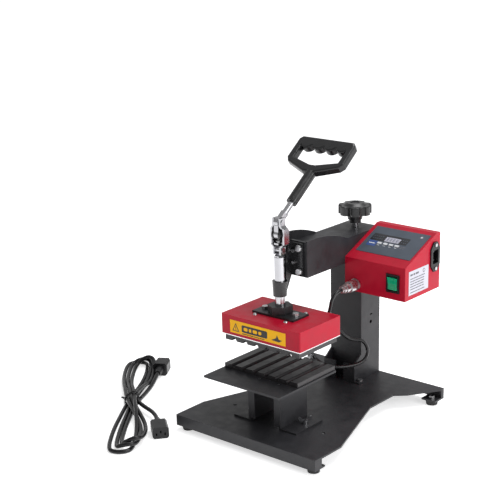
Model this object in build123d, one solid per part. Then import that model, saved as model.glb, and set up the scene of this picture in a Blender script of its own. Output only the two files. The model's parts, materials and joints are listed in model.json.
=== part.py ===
from build123d import *
import os
from math import sin, cos, tan, radians, pi

os.makedirs("parts", exist_ok=True)

# ---------------------------------------------------------------- driving dimensions (mm)
# Frame: origin on the floor under the middle of the base plate, +X right, +Y to the rear, +Z up.
PRESS_X = -22.6          # plane of symmetry of column, head and platens
AXIS_Y = -53.3           # plunger axis, seen in plan
SHEET = 3.0              # folded steel sheet

FOOT_H, FOOT_R = 8.0, 11.0
BASE_W, BASE_D, BASE_TOP = 292.0, 360.0, 27.0
NECK_HALF = 93.0
FRONT_WING, NECK_START, NECK_END = 66.0, 217.0, 284.0

COL_HALF = 33.0          # outer half width over the side plates
COL_FRONT, COL_REAR, COL_TOP = 124.0, 178.0, 294.0
ARM_FRONT, ARM_BOTTOM, ARM_TOP = -23.0, 252.0, 312.5
TOE_FRONT, TOE_TOP, TOE_FLANGE = 104.0, 60.0, 24.0
KNOB_Y = 150.0

PIVOT_Z, CRANK, LINK_LEN = 326.5, 20.0, 45.5   # toggle clamp: body pivot, lever throw, link length
PIN_R, FIT = 4.0, 0.05
PLUNGER_R = 8.6
LEVER_LEAN = 53.5        # degrees behind the vertical when the press is open

HEAD_HX, HEAD_HY = 82.4, 52.5
HEAD_Z0, HEAD_Z1 = 159.1, 192.5
BLOCK_HX, BLOCK_HY, BLOCK_Z0, BLOCK_Z1 = 77.2, 49.0, 147.5, 168.0
GROOVES, GROOVE_R = 6, 4.7
GROOVE_PITCH = 23.4

TRAY_HX, TRAY_Y0, TRAY_Y1, TRAY_Z0, TRAY_Z1 = 79.5, -156.0, -10.0, 95.7, 99.2
PLATEN_Y0, PLATEN_Z1 = -106.7, 107.0
BRACKET_HX, BRACKET_Y0, BRACKET_Y1 = 33.5, -126.0, -57.5

BOX_X0, BOX_X1 = PRESS_X + COL_HALF, 131.0
BOX_Y0, BOX_Y1 = 77.6, 177.4
BOX_Z0, BOX_LIP, BOX_TOP = 207.4, 264.0, 303.0
BOX_FLAT = 9.4           # depth of the level strip behind the sloping panel
WALL = 1.5

CABLE_R = 3.0


# ---------------------------------------------------------------- helpers
def block(x0, x1, y0, y1, z0, z1):
    """Box between two corners."""
    middle = Pos((x0 + x1) / 2, (y0 + y1) / 2, (z0 + z1) / 2)
    return middle * Box(x1 - x0, y1 - y0, z1 - z0)


def rod_z(x, y, z0, z1, r):
    return Pos(x, y, (z0 + z1) / 2) * Cylinder(r, z1 - z0)


def rod_x(x0, x1, y, z, r):
    return Pos((x0 + x1) / 2, y, z) * Rot(0, 90, 0) * Cylinder(r, x1 - x0)


def rod_y(x, y0, y1, z, r):
    return Pos(x, (y0 + y1) / 2, z) * Rot(90, 0, 0) * Cylinder(r, y1 - y0)


def hex_z(x, y, z0, z1, across):
    """Hexagonal prism standing on z0, across its flats."""
    outline = RegularPolygon(across / 2, 6, major_radius=False)
    return Pos(x, y, z0) * extrude(outline, z1 - z0)


def side_profile(points, x0, x1):
    """Straight-sided outline given as (y, z) points, thick from x0 to x1."""
    wire = Polyline([(x0, y, z) for y, z in points], close=True)
    return extrude(make_face(wire), x1 - x0, dir=(1, 0, 0))


def front_profile(points, y0, y1):
    """Straight-sided outline given as (x, z) points, thick from y0 to y1."""
    wire = Polyline([(x, y0, z) for x, z in points], close=True)
    return extrude(make_face(wire), y1 - y0, dir=(0, 1, 0))


def plan_profile(points, z0, z1):
    wire = Polyline([(x, y, z0) for x, y in points], close=True)
    return extrude(make_face(wire), z1 - z0, dir=(0, 0, 1))


def save(name, *solids):
    """Writes one node, made of one solid or of several separate ones."""
    kept = [s for shape in solids for s in shape.solids()]
    shape = kept[0] if len(kept) == 1 else Compound(children=kept)
    export_step(shape, f"parts/{name}.step")


def mirrored(x):
    """Both sides of the press's plane of symmetry."""
    return PRESS_X - x, PRESS_X + x


# ---------------------------------------------------------------- base
FOOT_SPOTS = [(x * 132.0, y) for x in (-1, 1) for y in (-166.0, 164.0)]
FRONT_HOLES = [(x * 93.6, -92.0) for x in (-1, 1)]
WING_SPOTS = [(-48.0, -104.0), (52.0, -86.0)]


def base_plate():
    half, front, rear = BASE_W / 2, -BASE_D / 2, BASE_D / 2
    right = [
        (half, front),
        (half, front + FRONT_WING),
        (NECK_HALF, front + NECK_START),
        (NECK_HALF, front + NECK_END),
        (NECK_HALF + 18, front + NECK_END + 16),
        (half, rear - 8),
        (half, rear),
    ]
    left = [(-x, y) for x, y in reversed(right)]
    plate = plan_profile(right + left, BASE_TOP - SHEET, BASE_TOP)
    skirt = block(-half, half, front, front + SHEET, FOOT_H, BASE_TOP)
    skirt += block(-half, half, rear - SHEET, rear, FOOT_H, BASE_TOP)
    for side in (-1, 1):
        outer, inner = sorted((side * half, side * (half - SHEET)))
        skirt += block(outer, inner, front, front + 17, FOOT_H, BASE_TOP)
        skirt += block(outer, inner, rear - 8, rear, FOOT_H, BASE_TOP)
    plate += skirt
    for x, y in FOOT_SPOTS:
        plate += block(x - 14, x + 14, y - 11, y + 11, FOOT_H, FOOT_H + SHEET)
        plate -= rod_z(x, y, FOOT_H - 1, FOOT_H + SHEET + 1, 3.0)
    for x, y in FRONT_HOLES:
        plate -= rod_z(x, y, BASE_TOP - 5, BASE_TOP + 1, 3.5)
    for x, y in WING_SPOTS:
        plate -= rod_z(x, y, BASE_TOP - 5, BASE_TOP + 1, 3.3)
    return plate


def rubber_feet():
    feet = []
    for x, y in FOOT_SPOTS:
        foot = Pos(x, y, FOOT_H / 2) * Cone(FOOT_R - 1.5, FOOT_R, FOOT_H)
        foot -= rod_z(x, y, 2.0, FOOT_H + 1, 3.0)
        feet.append(foot)
    return feet


def foot_screws():
    screws = []
    for x, y in FOOT_SPOTS:
        shank = rod_z(x, y, 2.5, FOOT_H + SHEET + 0.5, 2.6)
        screws.append(shank + hex_z(x, y, FOOT_H + SHEET, FOOT_H + SHEET + 4, 9.0))
    return screws


# ---------------------------------------------------------------- C-shaped frame
def frame_side(side):
    """One folded side plate: column, arm with its raised cheek, and the toe with its front lip."""
    outer = PRESS_X + side * COL_HALF
    inner = outer - side * SHEET
    x0, x1 = min(outer, inner), max(outer, inner)
    arch = ARM_BOTTOM - 12
    outline = Polyline(
        (COL_FRONT, arch),
        (COL_FRONT, TOE_TOP + 15),
        (TOE_FRONT, TOE_TOP),
        (TOE_FRONT, BASE_TOP),
        (COL_REAR, BASE_TOP),
        (COL_REAR, COL_TOP),
        (84, COL_TOP),
    ).edges()
    outline += [ThreePointArc((84, COL_TOP), (47, 306.5), (-8, ARM_TOP))]
    nose = [(-8, ARM_TOP), (ARM_FRONT, ARM_TOP), (ARM_FRONT, ARM_BOTTOM), (COL_FRONT - 12, ARM_BOTTOM)]
    outline += Polyline(*nose).edges()
    outline += [TangentArc((COL_FRONT - 12, ARM_BOTTOM), (COL_FRONT, arch), tangent=(1, 0))]
    face = Plane.YZ.offset(x0) * make_face(Wire(outline))
    plate = extrude(face, SHEET, dir=(1, 0, 0))
    if len(plate.solids()) != 1:
        raise ValueError("side plate outline is not closed")
    lip = sorted((outer, outer - side * TOE_FLANGE))
    plate += block(*lip, TOE_FRONT, TOE_FRONT + SHEET, BASE_TOP, TOE_TOP)
    tab = sorted((inner, outer + side * 10))
    plate += block(*tab, TOE_FRONT, TOE_FRONT + 20, BASE_TOP, BASE_TOP + SHEET)
    plate -= rod_z(outer + side * 5.2, TOE_FRONT + 10, BASE_TOP - 1, BASE_TOP + 4, 2.8)
    plate -= rod_x(x0 - 1, x1 + 1, 152.0, 128.0, 3.2)
    plate -= block(x0 - 1, x1 + 1, 150.0, 156.0, 140.5, 143.0)
    return plate


def frame_back_sheet():
    """Top and back of the column in one bent sheet, with the hole for the knob's stud."""
    x0, x1 = mirrored(COL_HALF - SHEET)
    top = block(x0, x1, ARM_FRONT + 5, COL_REAR, COL_TOP - SHEET, COL_TOP)
    back = block(x0, x1, COL_REAR - SHEET, COL_REAR, BASE_TOP, COL_TOP)
    sheet = top + back
    sheet -= rod_z(PRESS_X, KNOB_Y, COL_TOP - 5, COL_TOP + 2, 6.4)
    return sheet


def frame_front_sheet():
    """Front of the column and underside of the arm in one bent sheet."""
    x0, x1 = mirrored(COL_HALF - SHEET)
    front = block(x0, x1, COL_FRONT, COL_FRONT + SHEET, BASE_TOP, ARM_BOTTOM + SHEET)
    under = block(x0, x1, ARM_FRONT + 5, COL_FRONT + SHEET, ARM_BOTTOM, ARM_BOTTOM + SHEET)
    return front + under


CLAMP_HOLES = [(PRESS_X + x, z) for x in (-20.5, 20.5) for z in (262.0, 301.0)]
CLAMP_SMALL_HOLES = [(PRESS_X + 11.2, 276.5), (PRESS_X + 11.2, 296.0)]


def arm_front_plate():
    x0, x1 = mirrored(COL_HALF - SHEET)
    plate = block(x0, x1, ARM_FRONT, ARM_FRONT + 5, ARM_BOTTOM, ARM_TOP - 2)
    for x, z in CLAMP_HOLES:
        plate -= rod_y(x, ARM_FRONT - 1, ARM_FRONT + 6, z, 4.2)
    for x, z in CLAMP_SMALL_HOLES:
        plate -= rod_y(x, ARM_FRONT - 1, ARM_FRONT + 6, z, 2.1)
    return plate


def foot_tab_screws():
    screws = []
    for side in (-1, 1):
        x, y = PRESS_X + side * (COL_HALF + 5.2), TOE_FRONT + 10
        head = rod_z(x, y, BASE_TOP + SHEET, BASE_TOP + SHEET + 2.6, 4.4)
        screws.append(head + rod_z(x, y, BASE_TOP + 0.2, BASE_TOP + SHEET, 2.5))
    return screws


# ---------------------------------------------------------------- toggle clamp, fixed half
FLANGE_Y = ARM_FRONT - 5.0
CHEEK_IN, CHEEK_OUT, CHEEK_R = 5.0, 8.2, 9.0
SLEEVE_Z0, SLEEVE_Z1 = 224.5, 249.5


def clamp_body():
    """Cast body: flange, web, guide sleeve and the two cheeks that carry the lever's pivot."""
    x0, x1 = mirrored(27.0)
    body = block(x0, x1, FLANGE_Y, ARM_FRONT, 255.0, 309.0)
    web = [(FLANGE_Y, 300.0), (-42.5, 300.0), (-42.5, SLEEVE_Z1), (-42.5, SLEEVE_Z0 + 2), (FLANGE_Y, 254.0)]
    body += side_profile(web, PRESS_X - 4.5, PRESS_X + 4.5)
    sleeve = Pos(PRESS_X, AXIS_Y, (SLEEVE_Z0 + SLEEVE_Z1) / 2) * Cone(11.2, 12.4, SLEEVE_Z1 - SLEEVE_Z0)
    body += sleeve
    neck = [(FLANGE_Y, 296.0), (FLANGE_Y, 308.0), (-38.0, PIVOT_Z + 2), (-42.0, PIVOT_Z + CHEEK_R)]
    neck.append((-42.0, 296.0))
    body += side_profile(neck, PRESS_X - CHEEK_OUT, PRESS_X + CHEEK_OUT)
    for side in (-1, 1):
        a, b = sorted((PRESS_X + side * CHEEK_IN, PRESS_X + side * CHEEK_OUT))
        body += block(a, b, AXIS_Y, -41.0, PIVOT_Z - CHEEK_R, PIVOT_Z + CHEEK_R)
        body += rod_x(a, b, AXIS_Y, PIVOT_Z, CHEEK_R)
    body -= rod_z(PRESS_X, AXIS_Y, SLEEVE_Z0 - 1, SLEEVE_Z1 + 1, PLUNGER_R + FIT)
    body -= rod_x(PRESS_X - 12, PRESS_X + 12, AXIS_Y, PIVOT_Z, PIN_R + FIT)
    for x, z in CLAMP_HOLES:
        body -= rod_y(x, FLANGE_Y - 1, ARM_FRONT + 1, z, 4.2)
    for x, z in CLAMP_SMALL_HOLES:
        body -= rod_y(x, FLANGE_Y - 1, ARM_FRONT + 1, z, 2.1)
    return body


def clamp_bolts():
    bolts = []
    for x, z in CLAMP_HOLES:
        head = rod_y(x, FLANGE_Y - 4.6, FLANGE_Y, z, 5.6)
        head = fillet(head.edges().filter_by(GeomType.CIRCLE).sort_by(Axis.Y)[0], 1.2)
        bolts.append(head + rod_y(x, FLANGE_Y, ARM_FRONT + 10, z, 3.9))
    return bolts


def clamp_small_screws():
    screws = []
    for x, z in CLAMP_SMALL_HOLES:
        head = rod_y(x, FLANGE_Y - 5.5, FLANGE_Y, z, 2.6)
        screws.append(head + rod_y(x, FLANGE_Y, ARM_FRONT + 4.8, z, 1.9))
    return screws


def headed_pin(half, y, z):
    """Clevis pin along X with a riveted head on each end."""
    pin = rod_x(PRESS_X - half, PRESS_X + half, y, z, PIN_R)
    for side in (-1, 1):
        a, b = sorted((PRESS_X + side * half, PRESS_X + side * (half + 1.2)))
        pin += rod_x(a, b, y, z, PIN_R + 0.8)
    return pin


# ---------------------------------------------------------------- toggle clamp, moving half
UPPER_Z = PIVOT_Z + CRANK
LOWER_Z = UPPER_Z - LINK_LEN
LEAN = radians(LEVER_LEAN)
ALONG = (0.0, sin(LEAN), cos(LEAN))     # direction of the handle bar from the upper pin
BAR_START, BAR_END, BAR_R, NECK_TOP = 17.0, 60.0, 5.0, 106.0


def on_bar(distance):
    """Point on the handle bar's centre line, measured from the upper pin."""
    return (PRESS_X, AXIS_Y + ALONG[1] * distance, UPPER_Z + ALONG[2] * distance)


def bar_plane(distance):
    """Plane across the bar, its x along X and its z along the bar."""
    return Plane(origin=on_bar(distance), x_dir=(1, 0, 0), z_dir=ALONG)


def lever_bar():
    """Flat cranked blade through both pins, drawn out into the round handle bar."""
    half, eye = 4.3, 8.0
    lever = rod_x(PRESS_X - half, PRESS_X + half, AXIS_Y, PIVOT_Z, eye)
    lever += rod_x(PRESS_X - half, PRESS_X + half, AXIS_Y, UPPER_Z, eye)
    lever += block(PRESS_X - half, PRESS_X + half, AXIS_Y - 6.5, AXIS_Y + 6.5, PIVOT_Z, UPPER_Z)
    lever += bar_plane(0) * Pos(0, 0, 10) * Box(2 * half, 2 * BAR_R, 20)
    length = BAR_END - BAR_START
    lever += bar_plane(BAR_START) * Pos(0, 0, length / 2) * Cylinder(BAR_R, length)
    for z in (PIVOT_Z, UPPER_Z):
        lever -= rod_x(PRESS_X - 6, PRESS_X + 6, AXIS_Y, z, PIN_R + FIT)
    return lever


GRIP_T = 14.0            # thickness of the grip across its ring
GRIP_ROUND = 3.2         # rounding along the ring's edges
NECK_START_AT = 41.0     # where the grip's neck begins on the bar
GRIP_MID = -3.5          # the ring sits slightly off the bar's line
GRIP_OUTER = [(-12, 103), (-52, 119), (-57.5, 127), (-57.5, 168), (-52, 174), (51, 174), (56.5, 167),
              (57.5, 127), (52, 119), (12, 103)]
GRIP_INNER = [(-6, 118), (-45, 129), (-45.5, 153), (-42, 156), (42, 156), (45.5, 153), (45, 129), (6, 118)]


def outline_face(points):
    return make_face(Polyline(points, close=True))


def hand_grip():
    """Moulded D-grip: a six-sided ring with finger bumps, and the neck that the bar runs into."""
    flat = Plane(origin=on_bar(0), x_dir=(1, 0, 0), z_dir=(0, -ALONG[2], ALONG[1]))
    plane = flat.location * Pos(GRIP_MID, 0, 0)
    outer = extrude(outline_face(GRIP_OUTER), GRIP_T / 2, both=True)
    inner = extrude(outline_face(GRIP_INNER), GRIP_T, both=True)
    for x in (-36.0, -12.0, 12.0, 36.0):
        inner -= Pos(x, 163.0, 0) * Cylinder(13.0, 3 * GRIP_T)
    ring = outer - inner
    faces = ring.faces().filter_by(Axis.Z)
    ring = fillet(faces.edges(), GRIP_ROUND)
    neck = bar_plane(NECK_START_AT) * Pos(0, 0, (NECK_TOP - NECK_START_AT) / 2)
    neck *= Cylinder(9.0, NECK_TOP - NECK_START_AT)
    bore = bar_plane(37) * Pos(0, 0, (BAR_END - 36) / 2) * Cylinder(BAR_R + FIT, BAR_END - 36)
    return plane * ring + (neck - bore)


LINK_T, LINK_BOW = 3.8, 10.6       # link plate, and its inner face where it bows round the cheeks


def toggle_link(side):
    """Flat link between the two pins, bowed outwards and to the rear round the pivot's cheeks."""
    near = CHEEK_IN
    inner = [
        (near, UPPER_Z + 7),
        (near, UPPER_Z - 5),
        (LINK_BOW, UPPER_Z - 10.5),
        (LINK_BOW, LOWER_Z + 10.5),
        (near, LOWER_Z + 5),
        (near, LOWER_Z - 7),
    ]
    outer = [(x + LINK_T, z) for x, z in reversed(inner)]
    points = [(PRESS_X + side * x, z) for x, z in inner + outer]
    link = front_profile(points, AXIS_Y - 6, AXIS_Y + 6)
    a, b = sorted((PRESS_X + side * LINK_BOW, PRESS_X + side * (LINK_BOW + LINK_T)))
    link += block(a, b, AXIS_Y + 5, AXIS_Y + 8.5, LOWER_Z + 12, UPPER_Z - 12)
    link -= block(a - 9, b + 9, AXIS_Y - 7, AXIS_Y - 4, LOWER_Z + 9, UPPER_Z - 9)
    for z in (UPPER_Z, LOWER_Z):
        a, b = sorted((PRESS_X + side * 4, PRESS_X + side * 10))
        link -= rod_x(a, b, AXIS_Y, z, PIN_R + FIT)
    return link


def plunger():
    """Plated push rod with a tongue on top.  The tongue's eye opens to the front, because the
    links swing clear of the plunger's line in the middle of the stroke."""
    body = rod_z(PRESS_X, AXIS_Y, 196.0, 289.3, PLUNGER_R)
    body += block(PRESS_X - 4.5, PRESS_X + 4.5, AXIS_Y - 7, AXIS_Y + 7, 287.0, LOWER_Z + 12)
    body -= rod_x(PRESS_X - 6, PRESS_X + 6, AXIS_Y, LOWER_Z, PIN_R + 0.4)
    mouth = [(AXIS_Y + 1, LOWER_Z + 4.9), (AXIS_Y - 8, LOWER_Z + 9.9)]
    mouth += [(AXIS_Y - 8, LOWER_Z - 9.9), (AXIS_Y + 1, LOWER_Z - 4.9)]
    return body - side_profile(mouth, PRESS_X - 6, PRESS_X + 6)


# ---------------------------------------------------------------- press head
PLATE_TOP = HEAD_Z1 + 3.5
BOSS_H = 13.0
BOSS_TOP = PLATE_TOP + BOSS_H
MOUNT_BOLT_X, COVER_SCREW_X, COVER_SCREW_Y = 32.0, 32.0, 26.0
GLAND_X, GLAND_Z, GLAND_LEN = PRESS_X + 40.0, 167.0, 12.0


def head_mount_plate():
    x0, x1 = mirrored(43.0)
    plate = block(x0, x1, AXIS_Y - 20, AXIS_Y + 20, HEAD_Z1, PLATE_TOP)
    for x in mirrored(MOUNT_BOLT_X):
        plate -= rod_z(x, AXIS_Y, HEAD_Z1 - 1, PLATE_TOP + 1, 3.3)
    return plate


def head_boss():
    outline = RegularPolygon(18.0, 6, major_radius=False)
    boss = Pos(PRESS_X, AXIS_Y, PLATE_TOP) * Rot(0, 0, 30) * extrude(outline, BOSS_H)
    return boss - rod_z(PRESS_X, AXIS_Y, PLATE_TOP - 1, BOSS_TOP + 1, PLUNGER_R + FIT)


def mount_bolts():
    bolts = []
    for x in mirrored(MOUNT_BOLT_X):
        head = hex_z(x, AXIS_Y, PLATE_TOP, PLATE_TOP + 4.5, 10.0)
        bolts.append(head + rod_z(x, AXIS_Y, 184.5, PLATE_TOP, 3.0))
    return bolts


def cover_screw_spots():
    return [(x, AXIS_Y + y) for x in mirrored(COVER_SCREW_X) for y in (-COVER_SCREW_Y, COVER_SCREW_Y)]


def cover_screws():
    screws = []
    for x, y in cover_screw_spots():
        head = Pos(x, y, HEAD_Z1 + 1.1) * Cone(3.6, 2.4, 2.2)
        screws.append(head + rod_z(x, y, 184.5, HEAD_Z1, 1.8))
    return screws


def head_cover():
    """Red folded cover, open underneath."""
    x0, x1 = mirrored(HEAD_HX)
    y0, y1 = AXIS_Y - HEAD_HY, AXIS_Y + HEAD_HY
    cover = block(x0, x1, y0, y1, HEAD_Z0, HEAD_Z1)
    cover = fillet(cover.edges().filter_by(Axis.Z), 2.0)
    cover -= block(x0 + WALL, x1 - WALL, y0 + WALL, y1 - WALL, HEAD_Z0 - 1, HEAD_Z1 - WALL)
    for x in mirrored(MOUNT_BOLT_X):
        cover -= rod_z(x, AXIS_Y, HEAD_Z1 - 3, HEAD_Z1 + 1, 3.3)
    for x, y in cover_screw_spots():
        cover -= rod_z(x, y, HEAD_Z1 - 3, HEAD_Z1 + 1, 2.0)
    cover -= rod_y(GLAND_X, y1 - 4, y1 + 1, GLAND_Z, 4.2)
    return cover


def ridged_block(y0, y1, z0, z1, groove_z):
    """Platen with the row of half-round pen grooves cut into one face."""
    x0, x1 = mirrored(BLOCK_HX)
    platen = block(x0, x1, y0, y1, z0, z1)
    for i in range(GROOVES):
        x = PRESS_X + (i - (GROOVES - 1) / 2) * GROOVE_PITCH
        platen -= rod_y(x, y0 - 1, y1 + 1, groove_z, GROOVE_R)
    return platen


def reflector_sheet():
    """Bright sheet that closes the cover round the heated platen."""
    x0, x1 = mirrored(HEAD_HX - 0.4)
    y0, y1 = AXIS_Y - HEAD_HY + 0.4, AXIS_Y + HEAD_HY - 0.4
    sheet = block(x0, x1, y0, y1, HEAD_Z0 - 1.4, HEAD_Z0)
    hole_x0, hole_x1 = mirrored(BLOCK_HX + 0.5)
    hole_y0, hole_y1 = AXIS_Y - BLOCK_HY - 0.5, AXIS_Y + BLOCK_HY + 0.5
    return sheet - block(hole_x0, hole_x1, hole_y0, hole_y1, HEAD_Z0 - 2, HEAD_Z0 + 1)


def heating_element():
    """Sheathed heating rod bent to and fro in a flat carrier plate."""
    x0, x1 = mirrored(70.0)
    plate = block(x0, x1, AXIS_Y - 42, AXIS_Y + 42, BLOCK_Z1, BLOCK_Z1 + 6)
    for side in (-1, 1):
        a, b = sorted((PRESS_X + side * 20, PRESS_X + side * 44))
        plate -= block(a, b, AXIS_Y - 30, AXIS_Y + 30, BLOCK_Z1 + 2, BLOCK_Z1 + 7)
    return plate


def insulation_pad():
    x0, x1 = mirrored(72.0)
    return block(x0, x1, AXIS_Y - 44, AXIS_Y + 44, BLOCK_Z1 + 6, BLOCK_Z1 + 16)


def head_label():
    return block(PRESS_X - 63.0, PRESS_X + 53.5, AXIS_Y - HEAD_HY - 0.4, AXIS_Y - HEAD_HY, 163.9, 185.4)


def cable_gland():
    y = AXIS_Y + HEAD_HY
    nut = Pos(GLAND_X, y, GLAND_Z) * Rot(-90, 0, 0) * extrude(RegularPolygon(6.2, 6, major_radius=False), 5)
    middle = Pos(GLAND_X, y + 5 + (GLAND_LEN - 5) / 2, GLAND_Z)
    return nut + middle * Rot(-90, 0, 0) * Cone(5.8, 4.4, GLAND_LEN - 5)


# ---------------------------------------------------------------- lower platen
TONGUE_X0, TONGUE_X1, TONGUE_Y1 = PRESS_X + 2.0, PRESS_X + 26.0, 9.0
REAR_WING = (PRESS_X + 13.0, 2.0)


def platen_bracket():
    """Inverted U of sheet steel with outward feet and inward front lips."""
    half, top = BRACKET_HX, TRAY_Z0
    bracket = block(-half, half, BRACKET_Y0, BRACKET_Y1, top - SHEET, top)
    for side in (-1, 1):
        a, b = sorted((side * half, side * (half - SHEET)))
        bracket += block(a, b, BRACKET_Y0, BRACKET_Y1, BASE_TOP, top)
        a, b = sorted((side * (half - SHEET), side * (half + 32)))
        bracket += block(a, b, BRACKET_Y0, BRACKET_Y1, BASE_TOP, BASE_TOP + SHEET)
        a, b = sorted((side * half, side * (half - 13)))
        bracket += block(a, b, BRACKET_Y0, BRACKET_Y0 + SHEET, BASE_TOP + SHEET + 2, top)
    for x, y in WING_SPOTS:
        bracket -= rod_z(x, y, BASE_TOP - 1, BASE_TOP + 5, 3.3)
    for x, y in TRAY_SCREWS:
        bracket -= rod_z(x, y, top - 5, top + 1, 2.3)
    return bracket


TRAY_SCREWS = [(x, y) for x in (-20.0, 20.0) for y in (-112.0, -68.0)]


def platen_tray():
    x0, x1 = mirrored(TRAY_HX)
    tray = block(x0, x1, TRAY_Y0, TRAY_Y1, TRAY_Z0, TRAY_Z1)
    tray += block(TONGUE_X0, TONGUE_X1, TRAY_Y1, TONGUE_Y1, TRAY_Z0, TRAY_Z1)
    tray -= rod_z(*REAR_WING, TRAY_Z0 - 1, TRAY_Z1 + 1, 3.3)
    for x, y in TRAY_SCREWS:
        tray -= rod_z(x, y, TRAY_Z0 - 1, TRAY_Z1 + 1, 2.3)
    return tray


def platen_screws():
    screws = []
    for x, y in TRAY_SCREWS:
        shank = rod_z(x, y, TRAY_Z0 - SHEET - 3, TRAY_Z1 - 0.2, 2.0)
        screws.append(shank + hex_z(x, y, TRAY_Z0 - SHEET - 3, TRAY_Z0 - SHEET, 7.0))
    return screws


def ribbed_platen():
    return ridged_block(PLATEN_Y0, TRAY_Y1, TRAY_Z1, PLATEN_Z1, PLATEN_Z1)


def wing_bolt(x, y, z, shank_to, turn, height=12.5, reach=11.0):
    """Wing bolt: hub, two ears and a shank down to shank_to."""
    bolt = rod_z(0, 0, z, z + height * 0.56, 4.2)
    bolt += rod_z(0, 0, shank_to, z, 2.9)
    low, mid, top = z + height * 0.16, z + height * 0.56, z + height
    for side in (-1, 1):
        outline = [(2.5, low), (reach - 0.5, mid), (reach, top), (reach - 3.5, top), (2.5, mid)]
        ear = side_profile(outline, -1.0, 1.0)
        bolt += ear.rotate(Axis.Z, 90 + side * 90)
    return Pos(x, y, 0) * bolt.rotate(Axis.Z, turn)


# ---------------------------------------------------------------- pressure knob
KNOB_Z0, KNOB_Z1, KNOB_R, LOBES = 317.5, 333.0, 28.3, 7


def star_knob():
    """Seven-lobed knob with a raised cap on top and a collar below."""
    knob = rod_z(0, 0, KNOB_Z0, KNOB_Z1, KNOB_R)
    for i in range(LOBES):
        a = 2 * pi * (i + 0.5) / LOBES
        knob -= rod_z(KNOB_R * 1.14 * cos(a), KNOB_R * 1.14 * sin(a), KNOB_Z0 - 1, KNOB_Z1 + 1, 8.2)
    knob = fillet(knob.edges().filter_by(Plane.XY).sort_by(Axis.Z)[-2 * LOBES:], 1.6)
    knob += Pos(0, 0, KNOB_Z1 + 1.7) * Cone(20.0, 14.5, 3.4)
    knob += Pos(0, 0, KNOB_Z0 - 4.7) * Cone(12.6, 13.4, 9.4)
    knob += rod_z(0, 0, KNOB_Z0 - 15, KNOB_Z0 - 9.4, 10.6)
    knob -= rod_z(0, 0, KNOB_Z1 + 2.2, KNOB_Z1 + 5, 8.0)
    knob -= rod_z(0, 0, 298.0, 325.0, 5.05)
    return Pos(PRESS_X, KNOB_Y, 0) * knob


def knob_stud():
    stud = rod_z(0, 0, 268.0, 324.9, 5.0) + rod_z(0, 0, COL_TOP + 0.3, KNOB_Z0 - 15.3, 5.8)
    return Pos(PRESS_X, KNOB_Y, 0) * stud


def knob_nut():
    nut = hex_z(PRESS_X, KNOB_Y, COL_TOP - SHEET - 9, COL_TOP - SHEET, 18.0)
    return nut - rod_z(PRESS_X, KNOB_Y, 270.0, COL_TOP, 5.06)


# ---------------------------------------------------------------- control box
FLAT_Y = BOX_Y1 - BOX_FLAT
SLOPE = Plane(
    origin=(BOX_X0, BOX_Y0, BOX_LIP),
    x_dir=(1, 0, 0),
    z_dir=(0, -(BOX_TOP - BOX_LIP), FLAT_Y - BOX_Y0),
)


def box_outline(inset):
    return [
        (BOX_Y0 + inset, BOX_Z0 + inset),
        (BOX_Y1, BOX_Z0 + inset),
        (BOX_Y1, BOX_TOP - inset),
        (FLAT_Y + inset * 0.2, BOX_TOP - inset),
        (BOX_Y0 + inset, BOX_LIP - inset * 0.8),
    ]


def on_panel(x0, x1, s0, s1, low, high):
    """Box on the sloping panel: x in the row frame, s up the slope from its front edge."""
    shape = Pos((x0 + x1) / 2 - BOX_X0, (s0 + s1) / 2, (low + high) / 2)
    return SLOPE * shape * Box(x1 - x0, s1 - s0, high - low)


PANEL = (18.5, 126.5, 20.5, 89.0)
SCREEN = (53.0, 82.3, 54.3, 66.8)
KEY_X, KEY_S, KEY_W, KEY_H = (49.5, 61.2, 72.4, 84.0), 47.6, 8.0, 4.2
LAMP_X, LAMP_S = 113.6, 79.5
ROCKER_X, ROCKER_Z = 107.5, 235.0
SOCKET_X, SOCKET_Z = 32.1, 219.5
INLET_Y, INLET_Z = 162.5, 264.4
OVERLAY_T = 0.6


def box_shell():
    """Red folded housing, open at the back."""
    shell = side_profile(box_outline(0), BOX_X0, BOX_X1)
    shell -= side_profile(box_outline(WALL), BOX_X0 + WALL, BOX_X1 - WALL)
    shell -= block(ROCKER_X - 11, ROCKER_X + 11, BOX_Y0 - 1, BOX_Y0 + 3, ROCKER_Z - 14, ROCKER_Z + 14)
    shell -= rod_y(SOCKET_X, BOX_Y0 - 1, BOX_Y0 + 3, SOCKET_Z, 7.7)
    shell -= block(BOX_X1 - 3, BOX_X1 + 1, INLET_Y - 10, INLET_Y + 10, INLET_Z - 13.5, INLET_Z + 13.5)
    for z in (INLET_Z - 20, INLET_Z + 20):
        shell -= rod_x(BOX_X1 - 3, BOX_X1 + 1, INLET_Y, z, 1.8)
    shell -= on_panel(SCREEN[0], SCREEN[1], SCREEN[2], SCREEN[3], -3, 1)
    for x in KEY_X:
        shell -= on_panel(x - 3, x + 3, KEY_S - 1.5, KEY_S + 1.5, -3, 1)
    shell -= SLOPE * Pos(LAMP_X - BOX_X0, LAMP_S, 0) * Cylinder(1.9, 6)
    for y, z in BOX_BOLTS:
        shell -= rod_x(BOX_X0 - 1, BOX_X0 + 3, y, z, 2.3)
    return shell


BOX_BOLTS = [(138.0, 228.0), (138.0, 272.0)]


def box_back_cover():
    cover = block(BOX_X0, BOX_X1, BOX_Y1, BOX_Y1 + WALL, BOX_Z0, BOX_TOP)
    for x in (BOX_X0 + 6, BOX_X1 - 6):
        for z in (BOX_Z0 + 8, BOX_TOP - 8):
            cover -= rod_y(x, BOX_Y1 - 1, BOX_Y1 + WALL + 1, z, 1.7)
    for i in range(6):
        z = BOX_Z0 + 34 + 7 * i
        cover -= block(58.0, 98.0, BOX_Y1 - 1, BOX_Y1 + WALL + 1, z, z + 2.4)
    return cover


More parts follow.
